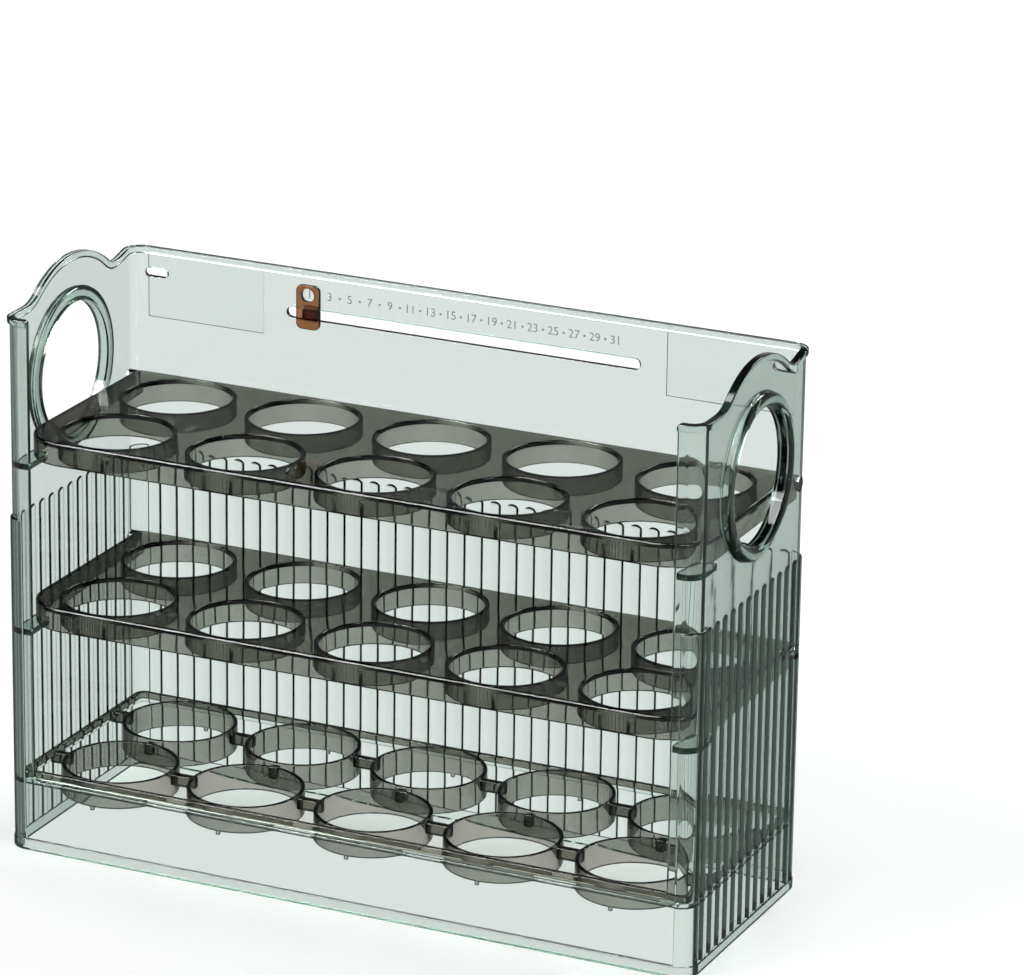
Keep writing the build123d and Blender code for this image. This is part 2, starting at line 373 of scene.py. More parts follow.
    def lamp(self, name: str, place: tuple, size: float, power: float) -> None:
        """Hangs a soft square lamp that faces the box.

        Args:
            name: Name of the lamp.
            place: Where it hangs, in metres.
            size: Length of its side, in metres.
            power: Light that it gives, in watts.
        """
        light = bpy.data.lights.new(name, "AREA")
        light.shape = "SQUARE"
        light.size = size
        light.energy = power
        lamp = bpy.data.objects.new(name, light)
        lamp.location = place
        aim = Vector(self.lamp_aim) - Vector(place)
        lamp.rotation_euler = aim.to_track_quat("-Z", "Y").to_euler()
        bpy.context.scene.collection.objects.link(lamp)

    def build(self) -> None:
        """Sets up the whole studio."""
        self.camera()
        self.floor()
        self.surround()
        for lamp in self.lamps:
            self.lamp(*lamp)


@dataclass
class Rim:
    """Edge of a moulded wall, in the wall's flat plan.

    The edge line is given with the plastic on its left. Each of its points has a unit direction
    out of the plastic. The rounding, one for all points or one for each, is how far from the edge
    the skins stop.
    """

    line: np.ndarray
    rounding: float | np.ndarray
    away: np.ndarray = field(init=False)

    def __post_init__(self) -> None:
        """Works out the outward directions and draws the line back by the rounding."""
        steps = np.diff(self.line, axis=0)
        steps /= np.linalg.norm(steps, axis=1)[:, None]
        before = np.vstack([steps[:1], steps])
        after = np.vstack([steps, steps[-1:]])
        if np.allclose(self.line[0], self.line[-1]):
            before[0] = steps[-1]
            after[-1] = steps[0]
        along = before + after
        along /= np.linalg.norm(along, axis=1)[:, None]
        self.away = np.column_stack([along[:, 1], -along[:, 0]])
        self.line = self.line - np.reshape(self.rounding, (-1, 1)) * self.away

    def shoulder(self, level: float, into: float) -> np.ndarray:
        """Round edge of a flat face: out by r sin t, and into the plastic by r (1 - cos t).

        Args:
            level: Height of the face.
            into: -1 where the plastic is below the face, 1 where it is above.

        Returns:
            Grid of points, along the rim by across the edge.
        """
        radius = np.reshape(self.rounding, (-1, 1)) * np.ones((len(self.line), 1))
        out = (radius * np.sin(QUARTER))[..., None]
        flat = self.line[:, None, :] + out * self.away[:, None, :]
        height = level + into * radius * (1 - np.cos(QUARTER))
        return np.concatenate([flat, height[..., None]], axis=2)

    def cut(self, axis: int, level: float, tolerance: float = 1e-4) -> None:
        """Adds a point wherever the line crosses a level.

        Args:
            axis: 0 for a level along the wall, 1 for a height.
            level: The level, in millimetres.
            tolerance: A point this near lies on the level.
        """
        offset = self.line[:, axis] - level
        offset[np.abs(offset) < tolerance] = 0.0
        spans = np.nonzero(offset[:-1] * offset[1:] < 0)[0]
        share = (offset[spans] / (offset[spans] - offset[spans + 1]))[:, None]
        points = self.line[spans] * (1 - share) + self.line[spans + 1] * share
        ways = self.away[spans] * (1 - share) + self.away[spans + 1] * share
        ways /= np.linalg.norm(ways, axis=1)[:, None]
        self.line = np.insert(self.line, spans + 1, points, axis=0)
        self.away = np.insert(self.away, spans + 1, ways, axis=0)


def arc(centre: tuple, radius: float, start: float, end: float, count: int) -> np.ndarray:
    """Points of an arc: centre plus radius times (cos a, sin a), from start to end in degrees."""
    angle = np.radians(np.linspace(start, end, count))
    return centre + radius * np.column_stack([np.cos(angle), np.sin(angle)])


def arc_radius(half: float, rise: float) -> float:
    """Radius of an arc with this half width and rise: (half half + rise rise) / (2 rise)."""
    return (half**2 + rise**2) / (2 * rise)


def turn_of(y: float, x: float) -> float:
    """Direction of the point (x, y) from the middle, in degrees."""
    return math.degrees(math.atan2(y, x))


def rounded_rectangle(centre: tuple, half_sides: tuple, radius: float) -> np.ndarray:
    """Closed outline of four quarter circles that the sides join, anticlockwise from the right.

    Args:
        centre: Its middle.
        half_sides: Half its width and half its height.
        radius: Radius of its corners.

    Returns:
        Points of the outline, with the first one again at its end.
    """
    core = np.subtract(half_sides, radius)
    line = np.vstack([
        arc(centre + core * way, radius, start, start + 90.0, CORNER_POINTS)
        for way, start in (((1, 1), 0.0), ((-1, 1), 90.0), ((-1, -1), 180.0), ((1, -1), 270.0))
    ])
    return np.vstack([line, line[:1]])


def at_level(line: np.ndarray, level: float) -> np.ndarray:
    """Points of a plan line at one height, as a grid of one column."""
    return np.column_stack([line, np.full(len(line), level)])[:, None, :]


def upright_line(place: float, low: float, high: float) -> np.ndarray:
    """Line of a plan along its second axis."""
    return np.array([[place, low], [place, high]])


def level_line(height: float, start: float, end: float) -> np.ndarray:
    """Line of a plan along its first axis."""
    return np.array([[start, height], [end, height]])


def plan_mesh(rims: list, creases: list, tolerance: float = 1e-3, at_once: int = 4000) -> tuple:
    """Triangulates the plan between its rims, with every crease as a line of edges.

    A triangle is kept where a ray to one side crosses the rims an odd number of times.

    Args:
        rims: Closed outlines of the plan and its holes, each an array of points.
        creases: Lines inside the plan, each an array of points.
        tolerance: Points nearer than this are one.
        at_once: Triangles that are tested in one go.

    Returns:
        Points and triangles, as arrays.
    """
    chains = rims + creases
    points = np.concatenate(chains)
    ends = np.cumsum([len(chain) for chain in chains]) - 1
    first = np.delete(np.arange(len(points)), ends)
    edges = np.column_stack([first, first + 1])
    result = delaunay_2d_cdt(points.tolist(), edges.tolist(), [], 0, tolerance)
    flat = np.array(result[0], dtype=float)
    faces = np.array(result[2], dtype=int)
    middle = flat[faces].mean(axis=1)
    start = np.concatenate([rim[:-1] for rim in rims])
    end = np.concatenate([rim[1:] for rim in rims])
    crossed = np.zeros(len(middle), dtype=int)
    for block in np.array_split(np.arange(len(middle)), 1 + len(middle) // at_once):
        u, z = middle[block, 0][:, None], middle[block, 1][:, None]
        spans = (start[:, 1] > z) != (end[:, 1] > z)
        with np.errstate(divide="ignore", invalid="ignore"):
            slope = (end[:, 0] - start[:, 0]) / (end[:, 1] - start[:, 1])
            meet = start[:, 0] + (z - start[:, 1]) * slope
        crossed[block] = (spans & (u < meet)).sum(axis=1)
    kept = faces[crossed % 2 == 1]
    used, places = np.unique(kept, return_inverse=True)
    return flat[used], places.reshape(kept.shape)


@dataclass
class Surface:
    """Patches of one piece, gathered as points in millimetres and blocks of faces."""

    points: list = field(default_factory=list)
    faces: list = field(default_factory=list)
    count: int = 0

    def add(self, points: np.ndarray, faces: np.ndarray) -> None:
        """Adds a patch.

        Args:
            points: Its points, as rows.
            faces: Its faces, as rows of numbers of points.
        """
        self.points.append(points)
        self.faces.append(faces + self.count)
        self.count += len(points)

    def add_cap(self, ring: np.ndarray) -> None:
        """Adds one face with all the points of a ring."""
        self.add(ring, np.arange(len(ring))[None])

    def add_grid(self, grid: np.ndarray) -> None:
        """Adds a grid of points as a patch of quads.

        Args:
            grid: The points, as rows by columns by three.
        """
        rows, columns = grid.shape[:2]
        index = np.arange(rows * columns).reshape(rows, columns)
        quads = [index[:-1, :-1], index[:-1, 1:], index[1:, 1:], index[1:, :-1]]
        self.add(grid.reshape(-1, 3), np.stack(quads, axis=-1).reshape(-1, 4))

    def add_flat(self, rims: list, level: float) -> None:
        """Adds the flat face between closed plan lines, at one height."""
        flat, faces = plan_mesh(rims, [])
        self.add(at_level(flat, level)[:, 0], faces)

    def add_wall(self, top: Rim, foot: Rim, high: float, low: float) -> None:
        """Adds the wall between two rims of one line, with round shoulders at its top and foot."""
        shoulders = [top.shoulder(high, -1.0), foot.shoulder(low, 1.0)[:, ::-1]]
        self.add_grid(np.concatenate(shoulders, axis=1))

    def add_strip(
        self, line: np.ndarray, width: float, low: float, high: float, rounding: float
    ) -> None:
        """Adds a closed strip: a rectangle with rounded corners, carried along a plan line.

        Args:
            line: Middle of the strip. Where it doesn't close, both ends are capped.
            width: Width of the rectangle.
            low: Height of its foot.
            high: Height of its top.
            rounding: Radius of its corners.
        """
        turn = (QUARTER + np.arange(4)[:, None] * math.pi / 2).ravel()
        corner = np.repeat([[1, 1], [-1, 1], [-1, -1], [1, -1]], len(QUARTER), axis=0)
        reach = np.array([width / 2 - rounding, (high - low) / 2 - rounding])
        profile = corner * reach + rounding * np.column_stack([np.cos(turn), np.sin(turn)])
        profile = np.vstack([profile, profile[:1]])
        away = Rim(line, 0.0).away
        flat = line[:, None, :] + profile[None, :, :1] * away[:, None, :]
        height = np.broadcast_to((low + high) / 2 + profile[:, 1], flat.shape[:2])
        grid = np.concatenate([flat, height[..., None]], axis=2)
        self.add_grid(grid)
        if not np.allclose(line[0], line[-1]):
            self.add_cap(grid[0, :-1])
            self.add_cap(grid[-1, :-1])

    def lift(self, height: float) -> None:
        """Raises all patches."""
        self.points = [points + (0.0, 0.0, height) for points in self.points]

    def stand_up(self) -> None:
        """Tips the patches up: plan (u, v) and height w go to x = u, y = -w, z = v."""
        self.points = [points[:, [0, 2, 1]] * (1.0, -1.0, 1.0) for points in self.points]

    def mirror_x(self) -> None:
        """Adds the mirror image of all patches across the middle of the box."""
        self.faces += [faces[:, ::-1] + self.count for faces in self.faces]
        self.points += [points * (-1.0, 1.0, 1.0) for points in self.points]
        self.count *= 2

    def to_mesh(self, name: str, weld: float = 0.004, sliver: float = 0.0001) -> bpy.types.Mesh:
        """Makes the mesh in metres: merges the patches' shared points, turns all faces outwards.

        Args:
            name: Name of the mesh.
            weld: Points nearer than this become one, in millimetres.
            sliver: Edges shorter than this are dissolved, in millimetres.

        Returns:
            The new mesh.
        """
        faces = [face for block in self.faces for face in block.tolist()]
        mesh = bpy.data.meshes.new(name)
        mesh.from_pydata((np.concatenate(self.points) * MM).tolist(), [], faces)
        work = bmesh.new()
        work.from_mesh(mesh)
        bmesh.ops.remove_doubles(work, verts=work.verts, dist=weld * MM)
        bmesh.ops.dissolve_degenerate(work, edges=work.edges, dist=sliver * MM)
        bmesh.ops.recalc_face_normals(work, faces=work.faces)
        work.to_mesh(mesh)
        open_edges = sum(1 for edge in work.edges if len(edge.link_faces) != 2)
        work.free()
        if open_edges:
            LOG.warning("%s has %d open edges", name, open_edges)
        return mesh


def fuse(name: str, solids: list) -> bpy.types.Mesh:
    """Fuses overlapping closed surfaces to one, so that light meets no wall in the plastic.

    Args:
        name: Name of the mesh.
        solids: The surfaces.

    Returns:
        The fused mesh.
    """
    meshes = [solid.to_mesh(f"{name}_{number}") for number, solid in enumerate(solids)]
    pieces = [bpy.data.objects.new(mesh.name, mesh) for mesh in meshes]
    bpy.context.scene.collection.objects.link(pieces[0])
    others = bpy.data.collections.new(f"{name}_others")
    for piece in pieces[1:]:
        others.objects.link(piece)
    union = pieces[0].modifiers.new("union", "BOOLEAN")
    union.operation = "UNION"
    union.operand_type = "COLLECTION"
    union.collection = others
    union.solver = "EXACT"
    shaped = pieces[0].evaluated_get(bpy.context.evaluated_depsgraph_get())
    fused = bpy.data.meshes.new_from_object(shaped)
    for piece in pieces:
        bpy.data.objects.remove(piece)
    bpy.data.collections.remove(others)
    for mesh in meshes:
        bpy.data.meshes.remove(mesh)
    fused.name = name
    return fused


def smooth_piece(mesh: bpy.types.Mesh, crease: float = 32.0) -> bpy.types.Object:
    """Makes a piece of a mesh and smooths its curves.

    Args:
        mesh: The finished mesh, in its place.
        crease: Edges that turn by more than this angle stay crisp, in degrees.

    Returns:
        The new object, in the scene.
    """
    mesh.shade_smooth()
    mesh.set_sharp_from_angle(angle=math.radians(crease))
    piece = bpy.data.objects.new(mesh.name, mesh)
    bpy.context.scene.collection.objects.link(piece)
    even = piece.modifiers.new("even", "WEIGHTED_NORMAL")
    even.keep_sharp = True
    LOG.info("%s: %d points, %d faces", mesh.name, len(mesh.vertices), len(mesh.polygons))
    return piece


@dataclass
class CaseShell:
    """Moulded case: a rounded sleeve with an open front, as two skins over one flat plan.

    The plan's first axis, u, runs along the outer wall from the middle of the back, round the
    back corner, the side and the front corner, to the middle of the front. The second is the
    height z. A skin's point is the point of the wall's outline at u, moved along the outline's
    normal by a height above the outer wall. Sizes are in millimetres.
    """

    outer_half_width: float
    outer_half_depth: float
    ring_z: float
    wall: float = 2.0
    corner_radius: float = 6.0
    corner_steps: int = 8
    first_corner_line: float = 0.7
    blend_points: int = 7
    hump_points: int = 36
    shoulder_points: int = 13
    flange_points: int = 6
    slot_end_points: int = 11
    pin_hole_points: int = 25
    ledge_points: int = 8
    edge_rounding: float = 0.4
    base_rounding: float = 0.5
    slot_rounding: float = 0.35
    hand_hole_rounding: float = 0.3
    pin_hole_rounding: float = 0.2
    sharp_step: float = 0.03
    crease_overrun: float = 2.0
    edge_overrun: float = 8.0
    sill_height: float = 25.8
    flange_width: float = 9.0
    window_radius: float = 3.0
    flange_corner: float = 1.4
    post_above_ring: float = 30.5
    back_above_ring: float = 32.5
    hump_radius: float = 41.0
    hump_front_blend: float = 14.0
    hump_back_blend: float = 6.0
    shoulder_start: float = 31.0
    shoulder_end: float = 42.0
    rim_bead: tuple = (2.6, 0.9)
    base_bead: tuple = (4.2, 1.1)
    bead_shoulder: float = 0.8
    ring_hole_radius: float = 23.7
    ring_band: float = 4.8
    ring_proud: float = 3.0
    ring_crown_rise: float = 1.4
    ring_across: tuple = (-2.1, -1.6, -1.0, 0.0, 1.0, 1.6, 2.1, 2.35)
    ring_fillet: tuple = ((0.0, 1.5), (0.05, 0.5), (0.18, 0.15), (0.45, 0.0))
    ring_inset: float = 0.4
    ring_inset_fall: float = 0.3
    ring_steps: int = 120
    flute_width: float = 4.5
    flute_pitch: float = 6.65
    flute_proud: float = 0.8
    flute_steps: tuple = (0.0, 0.12, 0.28, 0.48, 0.70, 0.93)
    flute_arch_rise: float = 1.2
    flute_below_ring: float = 40.7
    flute_in_bead: float = 0.3
    band_shoulder: float = 0.9
    sill_ledge_width: float = 1.4
    sill_ledge_thickness: float = 1.8
    sill_ledge_bevel: float = 0.3
    sill_ledge_step: float = 0.02
    corner_ledge_tops: tuple = (81.1, 141.1)
    corner_ledge_thickness: float = 2.2
    corner_ledge_reach: float = 16.0
    corner_ledge_cut: tuple = (109.5, -27.4, 12.0)
    corner_ledge_rounding: float = 0.4
    corner_ledge_lap: float = 0.3
    corner_ledge_gap: float = 0.4
    corner_ledge_inset: float = 0.1
    date_slot: tuple = (178.8, 134.0, 3.8)
    hang_slot: tuple = (118.5, 185.5, 9.0, 3.0)
    hook_pad: tuple = (76.5, 122.0, 169.0, 0.4)
    hook_pad_bevel: float = 0.15
    pin_holes: tuple = ((40.3, 87.2), (40.3, 147.2))
    pin_hole_radius: float = 2.78

    @classmethod
    def in_box(cls, high: Vector) -> "CaseShell":
        """Case whose rings, base bead and humps reach the upper corner of its CAD box.

        Args:
            high: The upper corner, in metres.

        Returns:
            The case.
        """
        half_width = high.x / MM - cls.ring_proud
        half_depth = high.y / MM - cls.base_bead[1]
        return cls(half_width, half_depth, high.z / MM - cls.hump_radius)

    def __post_init__(self) -> None:
        """Works out where the flats and corners start along the wall."""
        self.core_x = self.outer_half_width - self.corner_radius
        self.core_y = self.outer_half_depth - self.corner_radius
        self.quarter = self.corner_radius * math.pi / 2
        self.back_end = self.core_x
        self.side_start = self.back_end + self.quarter
        self.side_end = self.side_start + 2 * self.core_y
        self.front_start = self.side_end + self.quarter
        self.front_middle = self.front_start + self.core_x
        self.flange_edge = self.front_start + self.flange_width - self.corner_radius
        self.post_z = self.ring_z + self.post_above_ring
        self.back_z = self.ring_z + self.back_above_ring
        self.flute_top = self.ring_z - self.flute_below_ring
        self.flute_foot = self.base_bead[0] - self.flute_in_bead
        self.ring_u = self.side_start + self.core_y
        self.ring_outer = self.ring_hole_radius + self.ring_band

    def place(self, u: np.ndarray, z: np.ndarray, height: np.ndarray) -> np.ndarray:
        """Point of a skin: the core's nearest point plus (corner radius + height) along the normal.

        Args:
            u: Place along the wall.
            z: Height above the floor.
            height: Height above the outer wall, below zero inside it.

        Returns:
            Points as (..., 3).
        """
        turn = np.clip((u - self.back_end) / self.corner_radius, 0, math.pi / 2)
        turn = turn + np.clip((u - self.side_end) / self.corner_radius, 0, math.pi / 2)
        x = np.clip(u, 0, self.core_x) - np.clip(u - self.front_start, 0, self.core_x)
        y = self.core_y - np.clip(u - self.side_start, 0, 2 * self.core_y)
        reach = self.corner_radius + height
        point = [x + reach * np.sin(turn), y + reach * np.cos(turn), z + 0 * reach]
        return np.stack(point, axis=-1)

    def side_u(self, y: np.ndarray) -> np.ndarray:
        """Place along the wall of a point y on the side, also round the back corner."""
        turn = np.arcsin(np.clip((y - self.core_y) / self.corner_radius, 0, 1))
        return self.ring_u - np.minimum(y, self.core_y) - turn * self.corner_radius

    def skyline(self) -> np.ndarray:
        """Top edge from the front to the middle of the back: post, hump, shoulder and rim.

        A blend joins the hump on each side. The shoulder rises by s s (3 - 2 s) over its length.

        Returns:
            Points of the edge in the wall's plan.
        """
        blend, heel, hump = self.hump_front_blend, self.hump_back_blend, self.hump_radius
        rise, zero = self.post_above_ring, self.ring_z
        front_y = -math.sqrt((hump + blend) ** 2 - (rise + blend) ** 2)
        heel_y = math.sqrt((hump + heel) ** 2 - (rise + heel) ** 2)
        front_turn = turn_of(rise + blend, -front_y)
        heel_turn = turn_of(rise + heel, heel_y)
        front_centre, heel_centre = (front_y, self.post_z + blend), (heel_y, self.post_z + heel)
        share = np.linspace(0, 1, self.shoulder_points)
        ease = share * share * (3 - 2 * share)
        side = np.vstack([
            arc(front_centre, blend, -90.0, -front_turn, self.blend_points),
            arc((0.0, zero), hump, 180.0 - front_turn, heel_turn, self.hump_points)[1:],
            arc(heel_centre, heel, 180.0 + heel_turn, 270.0, self.blend_points)[1:],
            np.column_stack([
                self.shoulder_start + share * (self.shoulder_end - self.shoulder_start),
                self.post_z + ease * (self.back_z - self.post_z),
            ]),
        ])
        side[:, 0] = self.side_u(side[:, 0])
        return np.vstack([side, [[0.0, self.back_z]]])

    def ring_circle(self, radius: float) -> np.ndarray:
        """Circle round the hand hole's middle, clockwise."""
        return arc((self.ring_u, self.ring_z), radius, 90.0, -270.0, self.ring_steps + 1)

    def rims(self) -> dict:
        """Edges of this half of the wall's plan.

        Returns:
            The edges, by name.
        """
        window, corner, front = self.window_radius, self.flange_corner, self.flange_edge
        window_centre = (front + window, self.sill_height + window)
        corner_centre = (front - corner, self.post_z - corner)
        open_edge = np.vstack([
            [[self.front_middle, self.sill_height]],
            arc(window_centre, window, -90.0, -180.0, self.blend_points),
            arc(corner_centre, corner, 0.0, 90.0, self.flange_points),
            self.skyline(),
        ])
        slot_z, slot_length, slot_height = self.date_slot
        cap = slot_height / 2
        date_slot = np.vstack([
            [[0.0, slot_z + cap]],
            arc((slot_length / 2 - cap, slot_z), cap, 90.0, -90.0, self.slot_end_points),
            [[0.0, slot_z - cap]],
        ])
        hang_u, hang_z, hang_length, hang_height = self.hang_slot
        cap = hang_height / 2
        straight = hang_length / 2 - cap
        hang_slot = np.vstack([
            arc((hang_u + straight, hang_z), cap, 90.0, -90.0, self.slot_end_points),
            arc((hang_u - straight, hang_z), cap, -90.0, -270.0, self.slot_end_points),
            [[hang_u + straight, hang_z + cap]],
        ])
        rims = {
            "open_edge": Rim(open_edge, self.edge_rounding),
            "base": Rim(level_line(0.0, 0.0, self.front_middle), self.base_rounding),
            "date_slot": Rim(date_slot, self.slot_rounding),
            "hang_slot": Rim(hang_slot, self.slot_rounding),
            "hand_hole": Rim(self.ring_circle(self.ring_hole_radius), self.hand_hole_rounding),
        }
        for number, (y, z) in enumerate(self.pin_holes):
            around = arc((y, z), self.pin_hole_radius, 90.0, 450.0, self.pin_hole_points)
            around[:, 0] = self.side_u(around[:, 0])
            rims[f"pin_hole_{number}"] = Rim(around, self.pin_hole_rounding)
        return rims

    def corner_lines(self) -> np.ndarray:
        """Upright lines that divide the round corners; the first is clear of the hanging slot.

        Returns:
            Their places along the wall.
        """
        share = np.linspace(0, 1, self.corner_steps + 1)
        share[0] = self.first_corner_line / self.quarter
        return np.add.outer([self.back_end, self.side_end], share * self.quarter).ravel()

    def bead_levels(self, bead: tuple) -> np.ndarray:
        """Heights and swells of a bead's round shoulder, a quarter circle, as rows.

        Args:
            bead: The bead's height and its swell.

        Returns:
            The rows, which end at the wall.
        """
        radius = self.bead_shoulder
        height = bead[0] - radius + radius * np.sin(QUARTER)
        swell = bead[1] - radius + radius * np.cos(QUARTER)
        return np.vstack([np.column_stack([height, swell]), [[bead[0] + self.sharp_step, 0.0]]])

    def ring_levels(self) -> np.ndarray:
        """Profile of the hand hole's ring: the arc of a circle for its crown, a side and a fillet.

        Returns:
            Radii and swells, as rows.
        """
        half = self.ring_band / 2
        crown = arc_radius(half, self.ring_crown_rise)
        across = np.array(self.ring_across)
        swell = self.ring_proud - crown + np.sqrt(crown**2 - across**2)
        foot = np.array(self.ring_fillet) + (self.ring_outer - self.sharp_step, 0.0)
        return np.vstack([np.column_stack([self.ring_hole_radius + half + across, swell]), foot])

    def flute_insets(self) -> np.ndarray:
        """Profile of a flute's round back, the arc of a circle.

        Returns:
            Insets and swells, as rows.
        """
        half = self.flute_width / 2
        radius = arc_radius(half, self.flute_proud)
        inset = half * np.array(self.flute_steps)
        swell = self.flute_proud - radius + np.sqrt(radius**2 - (half - inset) ** 2)
        return np.column_stack([inset, swell])

    def band_insets(self) -> np.ndarray:
        """Insets and swells of a corner band's shoulder, a quarter of an ellipse, as rows."""
        inset = self.band_shoulder * (1 - np.cos(QUARTER))
        return np.column_stack([inset, self.flute_proud * np.sin(QUARTER)])

    def band_lines(self) -> list:
        """Upright lines of both corner bands' shoulders.

        Returns:
            Their places along the wall.
        """
        insets = self.band_insets()[:, 0]
        places = np.column_stack([insets, self.quarter - insets])
        return list(np.add.outer([self.back_end, self.side_end], places).ravel())

    def sill_levels(self) -> np.ndarray:
        """Profile of the ledge inside the sill, a rectangle with bevelled edges.

        Returns:
            Heights and depths, as rows.
        """
        top, full = self.sill_height, self.sill_ledge_width
        foot = top - self.sill_ledge_thickness
        step, bevel = self.sill_ledge_step, self.sill_ledge_bevel
        return np.array([
            [foot, 0.0], [foot + step, full - bevel], [foot + bevel, full],
            [top - bevel, full], [top - step, full - bevel], [top, 0.0],
        ])

    def flute_middles(self) -> np.ndarray:
        """Places of all flutes along the wall: the back's from its middle, then the side's.

        Returns:
            Places of their middles.
        """
        back = int((2 * self.core_x - self.flute_width) / self.flute_pitch) // 2
        side = (int((2 * self.core_y - self.flute_width) / self.flute_pitch) + 1) // 2
        rows = (np.arange(-side, side) + 0.5) * self.flute_pitch
        return np.concatenate([np.arange(back + 1) * self.flute_pitch, self.ring_u + rows])

    def flute_arch(self) -> tuple:
        """Radius and centre height of the arc that ends a flute."""
        radius = arc_radius(self.flute_width / 2, self.flute_arch_rise)
        return radius, self.flute_top - radius

    def flute_lines(self, tolerance: float = 1e-9) -> list:
        """Outlines of every flute, one inside the other: up one side, over the arch and down.

        Args:
            tolerance: A point this near lies on the middle of the back.

        Returns:
            The outlines. Of the flute in the middle of the back, only this half's side is kept.
        """
        radius, centre = self.flute_arch()
        lines = []
        for middle in self.flute_middles():
            for inset in self.flute_insets()[:, 0]:
                half = self.flute_width / 2 - inset
                turn = math.degrees(math.asin(half / (radius - inset)))
                top = arc((0.0, centre), radius - inset, 90.0 + turn, 90.0 - turn, CORNER_POINTS)
                left, right = ((side, self.flute_foot) for side in (-half, half))
                line = np.vstack([left, top, right]) + (middle, 0.0)
                lines.append(line[line[:, 0] >= -tolerance])
        return lines

    def below_edge(self, u: np.ndarray, z: np.ndarray) -> np.ndarray:
        """Distance from each point to the top edge, which is carried on past both ends.

        Args:
            u: Places along the wall.
            z: Heights.

        Returns:
            The distances.
        """
        line = np.vstack([
            [[self.flange_edge + self.edge_overrun, self.post_z]],
            self.skyline(),
            [[-self.edge_overrun, self.back_z]],
        ])
        start, step = line[:-1], np.diff(line, axis=0)
        off_u, off_z = u[:, None] - start[:, 0], z[:, None] - start[:, 1]
        share = np.clip((off_u * step[:, 0] + off_z * step[:, 1]) / (step**2).sum(axis=1), 0, 1)
        return np.hypot(off_u - share * step[:, 0], off_z - share * step[:, 1]).min(axis=1)

    def outer_height(self, u: np.ndarray, z: np.ndarray) -> np.ndarray:
        """Height of the outer skin: the largest of its beads, flutes, bands, ring and hook pad.

        Args:
            u: Places along the wall.
            z: Heights.

        Returns:
            Heights above the outer wall.
        """
        nearest = np.abs(u[:, None] - self.flute_middles()).min(axis=1)
        radius, centre = self.flute_arch()
        in_flute = self.flute_width / 2 - nearest
        in_arch = np.minimum(in_flute, radius - np.hypot(nearest, z - centre))
        in_flute = np.where(z > centre, in_arch, in_flute)
        starts = np.array([self.back_end, self.side_end])
        in_band = (self.quarter / 2 - np.abs(u[:, None] - starts - self.quarter / 2)).max(axis=1)
        in_band = np.minimum(in_band, self.flute_top - z)
        low, high, foot, proud = self.hook_pad
        in_pad = np.minimum.reduce([u - low, high - u, z - foot])
        around = np.hypot(u - self.ring_u, z - self.ring_z)
        reliefs = (
            (in_flute, self.flute_insets(), 0.0),
            (in_band, self.band_insets(), 0.0),
            (z, self.bead_levels(self.base_bead), None),
            (in_pad, np.array([[0.0, 0.0], [self.hook_pad_bevel, proud]]), 0.0),
            (around, self.ring_levels(), None),
            (self.below_edge(u, z), self.bead_levels(self.rim_bead), None),
        )
        return np.maximum.reduce([
            np.interp(distance, steps[:, 0], steps[:, 1], left=outside)
            for distance, steps, outside in reliefs
        ])

    def inner_height(self, u: np.ndarray, z: np.ndarray) -> np.ndarray:
        """Height of the inner skin: the inner face less the sill ledge and the ring's swell.

        Args:
            u: Places along the wall.
            z: Heights.

        Returns:
            Heights above the outer wall, below zero.
        """
        sill = self.sill_levels()
        ledge = np.interp(z, sill[:, 0], sill[:, 1])
        around = np.hypot(u - self.ring_u, z - self.ring_z)
        fall = [self.ring_outer - self.ring_inset_fall, self.ring_outer]
        return -self.wall - np.maximum(ledge, np.interp(around, fall, [self.ring_inset, 0.0]))

    def cut_rims(self, rims: dict) -> None:
        """Gives every rim a point where a crease of a skin meets it.

        Args:
            rims: The rims, by name.
        """
        middles = self.flute_middles()
        outermost = (middles[-1], middles[middles > self.back_end][0])
        upright = list(self.corner_lines())
        for inset in self.flute_insets()[:, 0]:
            half = self.flute_width / 2 - inset
            upright += [place for middle in outermost for place in (middle + half, middle - half)]
        pad_end = self.hook_pad[1]
        upright += self.band_lines() + [pad_end, pad_end - self.hook_pad_bevel]
        levels = np.concatenate([
            self.bead_levels(self.base_bead)[:, 0],
            self.sill_levels()[:, 0],
            self.post_z - self.bead_levels(self.rim_bead)[:, 0],
            self.flute_top - self.band_insets()[:, 0],
        ])
        for rim in rims.values():
            for place in upright:
                rim.cut(0, place)
            for level in levels:
                rim.cut(1, level)

    def outer_creases(self) -> list:
        """Lines in the plan of the outer skin's bands, ring, rim bead, hook pad and flutes.

        Returns:
            The lines.
        """
        past_flange = [[self.flange_edge + self.crease_overrun, self.post_z]]
        sky = Rim(np.vstack([past_flange, self.skyline()]), 0.0)
        insets = self.band_insets()[:, 0]
        low, high, foot, _ = self.hook_pad
        top = self.back_z - self.rim_bead[0] - self.sharp_step
        foot_z, top_z = self.flute_foot, self.flute_top
        creases = [upright_line(place, foot_z, top_z) for place in self.band_lines()]
        creases += [
            level_line(self.flute_top - inset, start, start + self.quarter)
            for start in (self.back_end, self.side_end) for inset in insets
        ]
        creases += [self.ring_circle(radius) for radius in self.ring_levels()[1:, 0]]
        beads = self.bead_levels(self.rim_bead)[:, 0]
        creases += [sky.line - below * sky.away for below in beads]
        creases += [
            np.array([[low + s, top], [low + s, foot + s], [high - s, foot + s], [high - s, top]])
            for s in (0.0, self.hook_pad_bevel)
        ]
        return creases + self.flute_lines()

